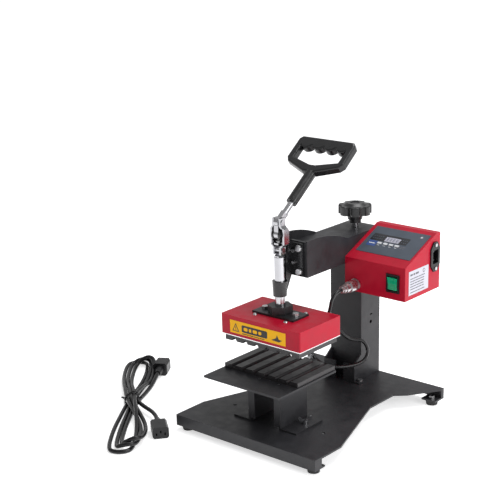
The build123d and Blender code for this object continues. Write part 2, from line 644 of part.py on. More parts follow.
def box_back_screws():
    screws = []
    for x in (BOX_X0 + 6, BOX_X1 - 6):
        for z in (BOX_Z0 + 8, BOX_TOP - 8):
            head = rod_y(x, BOX_Y1 + WALL, BOX_Y1 + WALL + 1.0, z, 3.0)
            screws.append(head + rod_y(x, BOX_Y1 + 0.1, BOX_Y1 + WALL, z, 1.5))
    return screws


def box_bolts():
    """Screws from inside the box into the column's side plate."""
    return [rod_x(BOX_X0 + WALL, BOX_X0 + WALL + 3, y, z, 4.0) + rod_x(BOX_X0 + 0.1, BOX_X0 + WALL, y, z, 2.1)
            for y, z in BOX_BOLTS]


def panel_overlay():
    sheet = on_panel(*PANEL, 0, OVERLAY_T)
    sheet -= on_panel(SCREEN[0], SCREEN[1], SCREEN[2], SCREEN[3], -1, 2)
    for x in KEY_X:
        sheet -= on_panel(x - KEY_W / 2 - 0.3, x + KEY_W / 2 + 0.3, KEY_S - KEY_H / 2 - 0.3,
                          KEY_S + KEY_H / 2 + 0.3, -1, 2)
    return sheet - SLOPE * Pos(LAMP_X - BOX_X0, LAMP_S, 0) * Cylinder(1.9, 6)


def display_screen():
    return on_panel(SCREEN[0] + 0.4, SCREEN[1] - 0.4, SCREEN[2] + 0.4, SCREEN[3] - 0.4, -3.5, 0.2)


def panel_key(x):
    """Key cap with a stem through the housing."""
    cap = on_panel(x - KEY_W / 2, x + KEY_W / 2, KEY_S - KEY_H / 2, KEY_S + KEY_H / 2, 0.6, 1.5)
    return cap + on_panel(x - 2.4, x + 2.4, KEY_S - 1.1, KEY_S + 1.1, -2.6, 0.6)


def indicator_lamp():
    return SLOPE * Pos(LAMP_X - BOX_X0, LAMP_S, -1.4) * Cylinder(1.8, 5.0)


def rocker_bezel():
    """Switch body with its rim, hollow where the rocker sits."""
    x, z, y = ROCKER_X, ROCKER_Z, BOX_Y0
    bezel = block(x - 12.7, x + 12.7, y - 2.2, y, z - 15.5, z + 15.5)
    bezel += block(x - 10.8, x + 10.8, y - 2, y + 18, z - 13.8, z + 13.8)
    bezel -= block(x - 9.4, x + 9.4, y - 3, y + 10, z - 12.4, z + 12.4)
    return bezel - rod_x(x - 12, x + 12, ROCKER_PIVOT_Y, z, 1.5 + FIT)


ROCKER_PIVOT_Y = BOX_Y0 + 3.0


def rocker():
    """Rocker with its lower half pressed in, which is the off position, on its two short trunnions."""
    x = ROCKER_X
    outline = [(-8.0, 10.6), (-5.4, 0.0), (-5.2, -10.6), (2.0, -10.0), (5.0, 0.0), (2.0, 10.0)]
    points = [(ROCKER_PIVOT_Y + y, ROCKER_Z + z) for y, z in outline]
    return side_profile(points, x - 8.8, x + 8.8) + rod_x(x - 10.6, x + 10.6, ROCKER_PIVOT_Y, ROCKER_Z, 1.5)


def mains_inlet():
    """Panel inlet: oval flange with two ears, and a shrouded recess for the connector."""
    x, y, z = BOX_X1, INLET_Y, INLET_Z
    flange = block(x, x + 2.6, y - 13, y + 13, z - 14, z + 14)
    ears = [(y - 13, z + 14), (y - 5, z + 25), (y + 5, z + 25), (y + 13, z + 14)]
    flange += side_profile(ears, x, x + 2.6)
    flange += side_profile([(a, 2 * z - b) for a, b in ears], x, x + 2.6)
    flange += block(x - 16, x + 2.6, y - 9.8, y + 9.8, z - 13.2, z + 13.2)
    flange -= block(x - 14, x + 3, y - 7.8, y + 7.8, z - 11.6, z + 11.6)
    for dz in (-20, 20):
        flange -= rod_x(x - 1, x + 3, y, z + dz, 1.8)
    return flange


def inlet_pins():
    """The three contact blades in the inlet's recess."""
    spots = [(2.2, -7.0), (2.2, 7.0), (-2.2, 0.0)]
    pins = []
    for a, b in spots:
        y, z = INLET_Y + a, INLET_Z + b
        pins.append(block(BOX_X1 - 14, BOX_X1 - 3, y - 2.0, y + 2.0, z - 1.0, z + 1.0))
    return pins


def inlet_screws():
    screws = []
    for dz in (-20, 20):
        z = INLET_Z + dz
        head = rod_x(BOX_X1 + 2.6, BOX_X1 + 4.2, INLET_Y, z, 3.0)
        screws.append(head + rod_x(BOX_X1 - 3, BOX_X1 + 2.6, INLET_Y, z, 1.5))
    return screws


def rating_label():
    return block(BOX_X1, BOX_X1 + 0.3, 88.0, 145.0, 215.0, 255.6)


def heater_socket():
    """Round panel socket with its hexagonal nut."""
    x, y, z = SOCKET_X, BOX_Y0, SOCKET_Z
    socket = rod_y(x, y - 3.0, y, z, 10.2) + rod_y(x, y - 9, y + 10, z, 7.4)
    return socket - rod_y(x, y - 10, y + 6, z, 5.6)


PLUG_Y0 = BOX_Y0 - 40.6


def heater_plug():
    """Screw-on cable plug: knurled ring, barrel and a stepped clamp where the cable goes in."""
    x, y, z = SOCKET_X, BOX_Y0, SOCKET_Z
    plug = rod_y(x, y - 20, y - 3.2, z, 9.4) - rod_y(x, y - 16, y - 3, z, 7.6)
    plug += rod_y(x, y - 30, y - 20, z, 7.6) + rod_y(x, y - 36, y - 30, z, 6.4)
    plug += rod_y(x, PLUG_Y0, y - 36, z, 5.0)
    plug += rod_y(x, y - 21, y + 2, z, 5.2)
    return plug


def circuit_board():
    return block(30.0, 112.0, 118.0, 168.0, BOX_Z0 + 8, BOX_Z0 + 9.6)


def transformer():
    core = block(36.0, 64.0, 124.0, 158.0, BOX_Z0 + 9.6, BOX_Z0 + 34)
    return core + block(40.0, 60.0, 120.0, 162.0, BOX_Z0 + 13, BOX_Z0 + 30)


def heater_relay():
    return block(78.0, 98.0, 128.0, 146.0, BOX_Z0 + 9.6, BOX_Z0 + 25)


def board_pillars():
    return [rod_z(x, y, BOX_Z0 + WALL, BOX_Z0 + 8, 3.0) for x in (34.0, 108.0) for y in (122.0, 164.0)]


# ---------------------------------------------------------------- heater cable
GLAND_END = AXIS_Y + HEAD_HY + GLAND_LEN
# Points of the route, chosen by hand: socket plug, round the back of the head, cable gland.
HEATER_ROUTE = [
    (SOCKET_X, PLUG_Y0, SOCKET_Z),
    (SOCKET_X, 14.5, SOCKET_Z),
    (24.0, 15.5, 181.0),
    (2.0, 16.0, 143.0),
    (-15.0, 18.0, 124.0),
    (-17.0, 20.5, 97.0),
    (6.0, 28.0, 82.0),
    (27.0, 52.0, 77.5),
    (40.6, 91.5, 77.5),
    (41.9, 102.9, 98.0),
    (37.3, 91.5, 118.5),
    (31.0, 66.0, 124.0),
    (28.5, 46.0, 140.0),
    (GLAND_X, 28.0, GLAND_Z),
    (GLAND_X, GLAND_END, GLAND_Z),
]


def corner_radii(points):
    """Arc at each corner: 0.45 of its shorter run, or 0.9 of a run that ends the cable, over the
    tangent of half the turn."""
    runs = [Vector(*b) - Vector(*a) for a, b in zip(points, points[1:])]
    room = [0.9 * runs[0].length] + [0.45 * r.length for r in runs[1:-1]] + [0.9 * runs[-1].length]
    radii = []
    for i in range(len(runs) - 1):
        half_turn = radians(runs[i].get_angle(runs[i + 1])) / 2
        radii.append(min(room[i], room[i + 1]) / tan(half_turn))
    return radii


def tube(points, radius):
    """Straight runs joined by tangent arcs."""
    radii = corner_radii(points)
    path = FilletPolyline(*points, radius=radii)
    start = Plane(origin=path @ 0, z_dir=path % 0)
    shape = sweep(start * Circle(radius), path=path)
    print("cable radii", [round(r, 1) for r in radii], "length", round(path.length, 1),
          "volume ratio", round(shape.volume / (pi * radius ** 2 * path.length), 4))
    return shape


# ---------------------------------------------------------------- mains lead, tied up on the floor
HANK_X, HANK_Y, HANK_H = -272.0, -149.0, 22.0
HANK_TURN = 39.9         # the hank's length runs from front right to rear left
HANK_HALF = 200.0


def in_hank(along, across, up):
    """Location of a point of the hank, along its length towards the rear."""
    return Pos(HANK_X, HANK_Y, 0) * Rot(0, 0, HANK_TURN) * Pos(across, along, up)


def cord_hank():
    """Outer shape of the figure-of-eight coil."""
    loops = []
    for along, across, half_wide in ((-HANK_HALF / 2, -1.0, 31.0), (HANK_HALF / 2, -13.0, 26.0)):
        loops.append(Pos(across, along, 0) * extrude(Ellipse(half_wide, HANK_HALF / 2), HANK_H))
    waist = Pos(-9, 0, HANK_H / 2) * Box(30.0, 60.0, HANK_H)
    hank = loops[0] + loops[1] + waist
    return Pos(HANK_X, HANK_Y, 0) * Rot(0, 0, HANK_TURN) * hank


def cord_tie():
    """Twist tie lying over the waist, with its twisted end."""
    tie = Pos(0, 0, HANK_H + 0.7) * Box(33.0, 5.0, 1.4)
    for side in (-1, 1):
        tie += Pos(side * 15.8, 0, (HANK_H + 1.4) / 2) * Box(1.4, 5.0, HANK_H + 1.4)
    return in_hank(6.0, -9.0, 0) * tie


def cord_connector():
    """Appliance connector with a tapered grommet, lying beside the hank."""
    body = Pos(0, 0, 10) * Box(27.0, 36.0, 20.0)
    body = chamfer(body.edges().filter_by(Axis.Y), 3.0)
    body += Pos(0, 28, 10) * Rot(-90, 0, 0) * Cone(8.0, 5.0, 20.0)
    for x, z in ((-7.0, 8.0), (0.0, 12.0), (7.0, 8.0)):
        body -= Pos(x, -16, z) * Box(2.2, 18.0, 4.6)
    return in_hank(-124.0, 50.0, 0) * Rot(0, 0, 11) * body


def mains_plug():
    """Moulded mains plug with two flat blades and a round earth pin."""
    plug = Pos(0, 0, 12) * Box(26.0, 30.0, 24.0)
    plug = chamfer(plug.edges().filter_by(Axis.Y), 4.0)
    plug += Pos(0, -24, 12) * Rot(90, 0, 0) * Cone(8.5, 5.0, 20.0)
    for x in (-6.35, 6.35):
        plug += Pos(x, 23.5, 14) * Box(1.5, 18.0, 6.3)
    plug += Pos(0, 24.5, 5.5) * Rot(90, 0, 0) * Cylinder(2.4, 20.0)
    return in_hank(150.0, 31.0, 0) * Rot(0, 0, -8) * plug


# ---------------------------------------------------------------- write every node
save("base_plate", base_plate())
save("rubber_feet", *rubber_feet())
save("frame_fasteners", *foot_screws(), *foot_tab_screws(), knob_nut())
save("frame_side_left", frame_side(-1))
save("frame_side_right", frame_side(1))
save("frame_back_sheet", frame_back_sheet())
save("frame_front_sheet", frame_front_sheet())
save("arm_front_plate", arm_front_plate())
save("clamp_body", clamp_body())
save("clamp_bolts", *clamp_bolts(), *clamp_small_screws())
save("clamp_pivot_pin", headed_pin(CHEEK_OUT + 0.1, AXIS_Y, PIVOT_Z))
save("lever_bar", lever_bar())
save("hand_grip", hand_grip())
save("toggle_link_left", toggle_link(-1))
save("toggle_link_right", toggle_link(1))
save("link_pins", *[headed_pin(CHEEK_IN + LINK_T + 0.1, AXIS_Y, z) for z in (UPPER_Z, LOWER_Z)])
save("plunger", plunger())
save("head_boss", head_boss())
save("head_mount_plate", head_mount_plate())
save("head_cover", head_cover())
save("head_screws", *mount_bolts(), *cover_screws())
save("heated_platen", ridged_block(AXIS_Y - BLOCK_HY, AXIS_Y + BLOCK_HY, BLOCK_Z0, BLOCK_Z1, BLOCK_Z0))
save("heating_element", heating_element())
save("insulation_pad", insulation_pad())
save("reflector_sheet", reflector_sheet())
save("head_label", head_label())
save("cable_gland", cable_gland())
save("platen_bracket", platen_bracket())
save("platen_tray", platen_tray())
save("platen_screws", *platen_screws())
save("ribbed_platen", ribbed_platen())
save("wing_bolt_left", wing_bolt(*WING_SPOTS[0], BASE_TOP + SHEET, BASE_TOP - 9, 35))
save("wing_bolt_right", wing_bolt(*WING_SPOTS[1], BASE_TOP + SHEET, BASE_TOP - 9, -40))
save("wing_bolt_rear", wing_bolt(*REAR_WING, TRAY_Z1, TRAY_Z0 - 7, 0, 7.2, 11.2))
save("star_knob", star_knob())
save("knob_stud", knob_stud())
save("box_shell", box_shell())
save("box_back_cover", box_back_cover())
save("box_screws", *box_back_screws(), *box_bolts())
save("panel_overlay", panel_overlay())
save("display_screen", display_screen())
for number, key_x in enumerate(KEY_X, start=1):
    save(f"panel_key_{number}", panel_key(key_x))
save("indicator_lamp", indicator_lamp())
save("rocker_bezel", rocker_bezel())
save("rocker", rocker())
save("mains_inlet", mains_inlet())
save("inlet_pins_and_screws", *inlet_pins(), *inlet_screws())
save("rating_label", rating_label())
save("heater_socket", heater_socket())
save("heater_plug", heater_plug())
save("control_board", circuit_board(), transformer(), heater_relay(), *board_pillars())
save("heater_cable", tube(HEATER_ROUTE, CABLE_R))
save("cord_hank", cord_hank())
save("cord_tie", cord_tie())
save("cord_connector", cord_connector())
save("mains_plug", mains_plug())
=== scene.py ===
import json
from math import cos, radians, sin

import bmesh
import bpy
from mathutils import Matrix, Vector


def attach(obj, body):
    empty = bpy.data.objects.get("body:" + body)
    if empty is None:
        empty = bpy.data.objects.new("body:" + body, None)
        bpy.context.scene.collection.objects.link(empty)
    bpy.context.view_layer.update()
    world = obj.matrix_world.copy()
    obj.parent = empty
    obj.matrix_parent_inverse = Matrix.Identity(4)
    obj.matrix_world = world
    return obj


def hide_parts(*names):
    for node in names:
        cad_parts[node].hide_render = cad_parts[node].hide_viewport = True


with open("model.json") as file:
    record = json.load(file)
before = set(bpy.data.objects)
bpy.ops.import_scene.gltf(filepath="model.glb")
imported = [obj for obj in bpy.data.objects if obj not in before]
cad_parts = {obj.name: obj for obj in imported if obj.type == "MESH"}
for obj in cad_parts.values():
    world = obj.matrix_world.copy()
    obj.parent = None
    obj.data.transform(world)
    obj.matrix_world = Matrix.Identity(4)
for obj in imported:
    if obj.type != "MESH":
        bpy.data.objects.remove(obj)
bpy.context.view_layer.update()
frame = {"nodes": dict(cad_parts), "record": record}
NODES = frame["nodes"]
bpy.context.scene.view_settings.view_transform = "Standard"
MM = 0.001


# ---------------------------------------------------------------- camera
def add_camera():
    """Long-lens camera in front of the press, to the right and above."""
    azimuth, elevation, distance = radians(39.93), radians(20.88), 2.0585
    target = Vector((-0.0233, -0.0505, 0.1273))
    away = Vector((sin(azimuth) * cos(elevation), -cos(azimuth) * cos(elevation), sin(elevation)))
    data = bpy.data.cameras.new("camera")
    data.lens = 90.19
    data.sensor_width = 36.0
    data.shift_x = -0.0639
    data.shift_y = 0.202
    data.clip_end = 50.0
    camera = bpy.data.objects.new("camera", data)
    camera.location = target + away * distance
    turn = (-away).to_track_quat("-Z", "Y").to_matrix().to_4x4()
    camera.rotation_euler = (turn @ Matrix.Rotation(radians(-1.174), 4, "Z")).to_euler()
    bpy.context.collection.objects.link(camera)
    bpy.context.scene.camera = camera


add_camera()


# ---------------------------------------------------------------- helpers for pieces
def add_object(name, data, body):
    obj = bpy.data.objects.new(name, data)
    bpy.context.collection.objects.link(obj)
    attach(obj, body)
    return obj


def add_mesh(name, bm, body, material):
    mesh = bpy.data.meshes.new(name)
    bmesh.ops.recalc_face_normals(bm, faces=bm.faces[:])
    bm.to_mesh(mesh)
    bm.free()
    mesh.materials.append(material)
    return add_object(name, mesh, body)


def round_curve(name, radius, around, steps):
    """Empty curve that is filled out to a round section, with closed ends."""
    curve = bpy.data.curves.new(name, "CURVE")
    curve.dimensions = "3D"
    curve.bevel_depth = radius
    curve.bevel_resolution = around
    curve.use_fill_caps = True
    curve.resolution_u = steps
    return curve


def add_spline(curve, points):
    """Smooth line that starts and ends on its outer control points and is drawn towards the rest."""
    spline = curve.splines.new("NURBS")
    spline.points.add(len(points) - 1)
    for point, co in zip(spline.points, points):
        point.co = (*co, 1.0)
    spline.order_u = 3
    spline.use_endpoint_u = True


def add_cord(name, points, radius, body, material):
    curve = round_curve(name, radius, 4, 8)
    add_spline(curve, points)
    curve.materials.append(material)
    return add_object(name, curve, body)


# ---------------------------------------------------------------- materials
PATCH_LOW, PATCH_HIGH = 0.3, 0.7     # the noise's own range, spread over the patches
MIRROR_LIMIT = 0.03                  # no surface is smoother than this
GRAIN_DEPTH = 0.0003                 # metres
COAT_ROUGH = 0.25


def node_material(name, colour, rough, metal=0.0, spread=0.12, scale=60.0, bump=0.0, bump_scale=900.0,
                  rough_spread=0.08, coat=0.0, specular=0.5):
    """Surface with patchy colour, patchy roughness and a fine bump."""
    material = bpy.data.materials.new(name)
    material.use_nodes = True
    tree = material.node_tree
    nodes, links = tree.nodes, tree.links
    shader = nodes["Principled BSDF"]
    shader.inputs["Metallic"].default_value = metal
    shader.inputs["Coat Weight"].default_value = coat
    shader.inputs["Coat Roughness"].default_value = COAT_ROUGH
    shader.inputs["Specular IOR Level"].default_value = specular
    where = nodes.new("ShaderNodeTexCoord")
    patches = nodes.new("ShaderNodeTexNoise")
    patches.inputs["Scale"].default_value = scale
    patches.inputs["Detail"].default_value = 5.0
    links.new(where.outputs["Object"], patches.inputs["Vector"])
    ramp = nodes.new("ShaderNodeValToRGB")
    ramp.color_ramp.elements[0].position = PATCH_LOW
    ramp.color_ramp.elements[1].position = PATCH_HIGH
    ramp.color_ramp.elements[0].color = (*[c * (1 - spread) for c in colour], 1)
    ramp.color_ramp.elements[1].color = (*[min(1, c * (1 + spread)) for c in colour], 1)
    links.new(patches.outputs["Fac"], ramp.inputs["Fac"])
    links.new(ramp.outputs["Color"], shader.inputs["Base Color"])
    spread_map = nodes.new("ShaderNodeMapRange")
    spread_map.inputs["From Min"].default_value = PATCH_LOW
    spread_map.inputs["From Max"].default_value = PATCH_HIGH
    spread_map.inputs["To Min"].default_value = max(MIRROR_LIMIT, rough - rough_spread)
    spread_map.inputs["To Max"].default_value = rough + rough_spread
    links.new(patches.outputs["Fac"], spread_map.inputs["Value"])
    links.new(spread_map.outputs["Result"], shader.inputs["Roughness"])
    if bump:
        grain = nodes.new("ShaderNodeTexNoise")
        grain.inputs["Scale"].default_value = bump_scale
        grain.inputs["Detail"].default_value = 2.0
        links.new(where.outputs["Object"], grain.inputs["Vector"])
        relief = nodes.new("ShaderNodeBump")
        relief.inputs["Strength"].default_value = bump
        relief.inputs["Distance"].default_value = GRAIN_DEPTH
        links.new(grain.outputs["Fac"], relief.inputs["Height"])
        links.new(relief.outputs["Normal"], shader.inputs["Normal"])
    return material


BLACK_COAT = node_material("black_powder_coat", (0.02, 0.02, 0.023), 0.45, specular=0.4, bump=0.25,
                           bump_scale=1100)
RED_COAT = node_material("red_powder_coat", (0.43, 0.003, 0.022), 0.38, spread=0.06, bump=0.12,
                         bump_scale=1200, specular=0.22)
CHROME = node_material("chrome", (0.5, 0.5, 0.52), 0.16, metal=1.0, spread=0.05, rough_spread=0.05)
ZINC = node_material("zinc_steel", (0.55, 0.55, 0.56), 0.3, metal=1.0, spread=0.1, scale=300)
DARK_STEEL = node_material("dark_steel", (0.035, 0.035, 0.038), 0.4, metal=0.6, spread=0.2, scale=200,
                           bump=0.1)
CLAMP_BLACK = node_material("clamp_gloss_black", (0.008, 0.008, 0.009), 0.24, specular=0.35, spread=0.15,
                            bump=0.08, bump_scale=500, coat=0.4)
PLATEN = node_material("platen_coating", (0.02, 0.018, 0.02), 0.36, spread=0.2, scale=120, bump=0.1,
                       bump_scale=800)
BRIGHT_SHEET = node_material("bright_sheet", (0.82, 0.82, 0.83), 0.25, metal=0.9, spread=0.05)
RUBBER = node_material("rubber", (0.014, 0.014, 0.014), 0.75, spread=0.2, bump=0.3, bump_scale=700)
GRIP = node_material("grip_plastic", (0.008, 0.008, 0.009), 0.3, spread=0.12, bump=0.15, bump_scale=1500)
BLACK_PLASTIC = node_material("black_plastic", (0.007, 0.007, 0.008), 0.34, specular=0.35, spread=0.15,
                              bump=0.06)
KEY = node_material("key_plastic", (0.62, 0.63, 0.66), 0.4, spread=0.05, bump=0.05)
ROCKER_GREEN = node_material("rocker_plastic", (0.0, 0.36, 0.17), 0.22, spread=0.1, coat=0.5)
SCREEN = node_material("screen", (0.42, 0.42, 0.5), 0.18, spread=0.05, coat=0.6)
LAMP = node_material("lamp", (0.6, 0.55, 0.6), 0.2, spread=0.1, coat=0.6)
FILM = node_material("panel_film", (0.05, 0.065, 0.09), 0.42, spread=0.08, bump=0.05, bump_scale=1800)
YELLOW = node_material("yellow_label", (0.9, 0.46, 0.003), 0.45, specular=0.2, spread=0.04, bump=0.03)
WHITE_FILM = node_material("white_label", (0.55, 0.55, 0.62), 0.45, spread=0.03, bump=0.03)
WOOL = node_material("insulation", (0.6, 0.56, 0.46), 0.9, spread=0.2, scale=400, bump=0.8, bump_scale=600)
SHEATH = node_material("heater_sheath", (0.25, 0.2, 0.16), 0.4, metal=0.9, spread=0.25, scale=120)
CIRCUIT = node_material("circuit_green", (0.02, 0.14, 0.05), 0.35, spread=0.1, bump=0.1)
CABLE = node_material("cable_black", (0.006, 0.006, 0.007), 0.3, specular=0.35, spread=0.15, scale=150,
                      bump=0.05, bump_scale=500)
INK = node_material("label_ink", (0.02, 0.018, 0.015), 0.5, spread=0.1, bump=0.02)
GREY_INK = node_material("grey_ink", (0.12, 0.12, 0.14), 0.5, spread=0.1, bump=0.02)
BLUE_FILM = node_material("blue_film", (0.03, 0.07, 0.24), 0.4, spread=0.08, bump=0.03)
BLACK_FILM = node_material("black_film", (0.012, 0.012, 0.016), 0.3, spread=0.1, bump=0.02)
LCD_INK = node_material("display_segments", (0.05, 0.05, 0.08), 0.3, spread=0.05)

SLOT_MATERIALS = {
    "black_powder_coat": BLACK_COAT, "red_powder_coat": RED_COAT, "chrome": CHROME, "zinc_steel": ZINC,
    "dark_steel": DARK_STEEL, "platen_coating": PLATEN, "bright_sheet": BRIGHT_SHEET, "rubber": RUBBER,
    "grip_plastic": GRIP, "black_plastic": BLACK_PLASTIC, "key_plastic": KEY, "rocker_plastic": ROCKER_GREEN,
    "screen": SCREEN, "lamp": LAMP, "panel_film": FILM, "yellow_label": YELLOW, "white_label": WHITE_FILM,
    "insulation": WOOL, "heater_sheath": SHEATH, "circuit_green": CIRCUIT, "cable_black": CABLE,
}
OWN_MATERIALS = {"clamp_body": CLAMP_BLACK, "heater_plug": ZINC, "head_label": YELLOW}


def paint_nodes():
    """Each CAD node gets the finish of its material slot, or its own where the slot has a plainer one."""
    slots = {part["node"]: part["material_slot"] for part in frame["record"]["subparts"]}
    for name, obj in NODES.items():
        material = OWN_MATERIALS.get(name) or SLOT_MATERIALS[slots[name]]
        obj.data.materials.clear()
        obj.data.materials.append(material)


paint_nodes()


# ---------------------------------------------------------------- heater cable
CABLE_R = 3.0
HEATER_ROUTE = [          # from the plug on the box, round behind the head, to the gland in its back
    (32.1, 37.0, 219.5), (32.1, 14.5, 219.5), (24.0, 15.5, 181.0), (2.0, 16.0, 143.0), (-15.0, 18.0, 124.0),
    (-17.0, 20.5, 97.0), (6.0, 28.0, 82.0), (27.0, 52.0, 77.5), (40.6, 91.5, 77.5), (41.9, 102.9, 98.0),
    (37.3, 91.5, 118.5), (31.0, 66.0, 124.0), (28.5, 46.0, 140.0), (17.4, 28.0, 167.0), (17.4, 11.2, 167.0),
]
heater_points = [Vector(p) * MM for p in HEATER_ROUTE]
heater_cord = add_cord("heater_lead", heater_points, CABLE_R * MM, "frame", CABLE)
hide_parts("heater_cable")

# ---------------------------------------------------------------- mains lead in its figure-of-eight hank
HANK_ORIGIN = Vector((-272.0, -149.0, 0.0))    # the hank's waist, on the floor
ALONG = Vector((-0.6414, 0.7672, 0.0))         # from the waist towards the lobe that is further back
ACROSS = Vector((0.7672, 0.6414, 0.0))
LEAD_R = 3.6
FLOOR_Z = LEAD_R                               # height of a strand that lies on the floor
LAYER = 7.3                                    # from one strand to the one lying on it
TIE_R = 0.95
LOBE_START = 62.0                              # a lobe's strands set out this far before its centre
OUTSIDE = 1.082                                # a lobe's control points stand this much outside its circle
CROSSING = 48.0                                # where strands begin to close up on the waist


def in_hank(along, across, up):
    """Point in the room from a place in the hank, in mm."""
    return (HANK_ORIGIN + ALONG * along + ACROSS * across + Vector((0, 0, up))) * MM


def add_tie():
    """Wire tie wound twice round the hank's waist, its ends twisted off at both sides."""
    girdle = [(-21.6, 1.0), (-21.6, 12.0), (-17.5, 16.2), (-9.0, 21.6), (-1.0, 22.4), (2.6, 15.0),
              (3.0, 1.0)]
    middle, half_gap = 6.0, 3.5          # along the hank: between the two turns, and from there to each
    curve = round_curve("hank_tie", TIE_R * MM, 2, 6)
    for side in (-1, 1):
        turn, bend, tip = (middle + side * step for step in (half_gap, 2.0, 1.2))
        for points in ([(turn, *p) for p in girdle],
                       [(tip, -27.5, 13.0), (bend, -23.5, 12.5), (turn, -21.6, 10.0)],
                       [(turn, 2.9, 11.0), (bend, 5.5, 11.5), (tip, 9.0, 12.0)]):
            add_spline(curve, [in_hank(*p) for p in points])
    curve.materials.append(BLACK_PLASTIC)
    tie = add_object("hank_tie", curve, "frame")
    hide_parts("cord_tie")
    return tie


def lobe(side, start, end, apex, heights):
    """One end loop: from the strand at start, round, to the strand at end, at its six heights."""
    half, middle = (end - start) / 2, (start + end) / 2
    centre = apex - abs(half)
    points = [(side * (centre - LOBE_START), start, heights[0])]
    for i in range(4):
        angle = radians(22.5 + 45 * i)
        along = centre + OUTSIDE * abs(half) * sin(angle)
        points.append((side * along, middle - OUTSIDE * half * cos(angle), heights[1 + i]))
    points.append((side * (centre - LOBE_START), end, heights[5]))
    return points


def waist(start, slot, end, up, side):
    """Crossing at the middle, from the strand at start on one side to the one at end on the other."""
    return [(side * CROSSING, slot + 0.45 * (start - slot), up), (0, slot, up),
            (-side * CROSSING, slot + 0.45 * (end - slot), up)]


# Heights of a lobe's six points: on the floor, or in a hump over one or two strands below.
LOW = [FLOOR_Z] * 6
OVER_ONE = [FLOOR_Z, FLOOR_Z, 11.5, 14.0, 10.0, FLOOR_Z]
OVER_TWO = [FLOOR_Z, FLOOR_Z, 15.0, 21.5, 16.0, FLOOR_Z]
UPPER = FLOOR_Z + LAYER

lead_points = [(116.3, 26.3, 12.0), (91.5, 22.8, 9.0), (60.0, 15.0, FLOOR_Z), (0, -2.0, FLOOR_Z),
               (-48, -5.5, FLOOR_Z)]
lead_points += lobe(-1, -9.5, 27.0, 181.6, OVER_TWO)
lead_points += waist(27.0, -9.5, -29.0, UPPER, -1)
lead_points += lobe(1, -29.0, 10.5, 189.0, OVER_ONE)
lead_points += waist(10.5, -9.5, -17.0, FLOOR_Z, 1)
lead_points += lobe(-1, -17.0, 19.5, 189.0, OVER_ONE)
lead_points += waist(19.5, -17.0, -37.0, UPPER, -1)
lead_points += lobe(1, -37.0, 3.0, 196.4, LOW)
lead_points += waist(3.0, -17.0, -28.4, FLOOR_Z, 1)
lead_points += lobe(-1, -28.4, 12.0, 196.4, LOW)
lead_points += [(-50, 3.5, 18.0), (0, -5.0, 17.6), (50, 6.0, 15.0)]
lead_points += lobe(1, 17.5, -21.0, 181.6, OVER_TWO[::-1])
lead_points += [(48, -12.0, UPPER), (0, -2.0, UPPER), (-30, 14.0, UPPER), (-62.2, 37.9, 10.2),
                (-86.7, 42.7, 10.0)]
lead_world = [in_hank(*p) for p in lead_points]
lead = add_cord("mains_lead", lead_world, LEAD_R * MM, "frame", CABLE)
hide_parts("cord_hank")
add_tie()


# ---------------------------------------------------------------- generic printed marks
X, Y, Z = Vector((1, 0, 0)), Vector((0, 1, 0)), Vector((0, 0, 1))
PANEL_RUN, PANEL_RISE = 90.4, 39.0             # the box's sloping panel, seen from the side
PANEL_FOOT = Vector((0.0, 77.6, 264.0))        # its lower edge, at X = 0
PANEL_UP = Vector((0.0, PANEL_RUN, PANEL_RISE)).normalized()
PANEL_OUT = Vector((0.0, -PANEL_RISE, PANEL_RUN)).normalized()
FILM_THICK, SCREEN_THICK = 0.6, 0.2            # the key-pad film and the screen stand this far off the panel
LABEL_FACE = Vector((-22.6, -106.2, 0.0))      # front of the warning label, at the press's middle
RATING_FACE = Vector((131.3, 0.0, 0.0))        # outside of the rating sticker
MARK_FOOT = 0.02                               # a mark's back stands this far off the film
FILM_LIFT = 0.12                               # and its front this far
KEY_X = (49.5, 61.2, 72.4, 84.0)
MARK_ROWS = (57.5, 63.5)


def rounded_rect(u0, u1, v0, v1, corner):
    """Outline of a rectangle with rounded corners, as (u, v) points."""
    corner = min(corner, (u1 - u0) / 2, (v1 - v0) / 2)
    points = []
    for cu, cv, start in ((u1 - corner, v1 - corner, 0), (u0 + corner, v1 - corner, 90),
                          (u0 + corner, v0 + corner, 180), (u1 - corner, v0 + corner, 270)):
        for step in range(4):
            angle = radians(start + 30 * step)
            points.append((cu + corner * cos(angle), cv + corner * sin(angle)))
    return points


def add_marks(name, outlines, origin, u_axis, v_axis, height, body, material):
    """Thin printed patches, each an outline in the plane's (u, v), raised by height."""
    bm = bmesh.new()
    normal = u_axis.cross(v_axis)
    for outline in outlines:
        low = [bm.verts.new((origin + u_axis * u + v_axis * v + normal * MARK_FOOT) * MM) for u, v in outline]
        high = [bm.verts.new((origin + u_axis * u + v_axis * v + normal * height) * MM) for u, v in outline]
        bm.faces.new(high)
        bm.faces.new(low[::-1])
        for i in range(len(low)):
            j = (i + 1) % len(low)
            bm.faces.new((low[i], low[j], high[j], high[i]))
    return add_mesh(name, bm, body, material)


def bars(u0, u1, v, widths, tall):
    """A row of short bars from u0, as many as end before u1, in place of a line of print."""
    row, u = [], u0
    for wide in widths:
        if u + wide > u1:
            break
        row.append(rounded_rect(u, u + wide, v, v + tall, tall * 0.3))
        u += wide + tall * 0.55
    return row


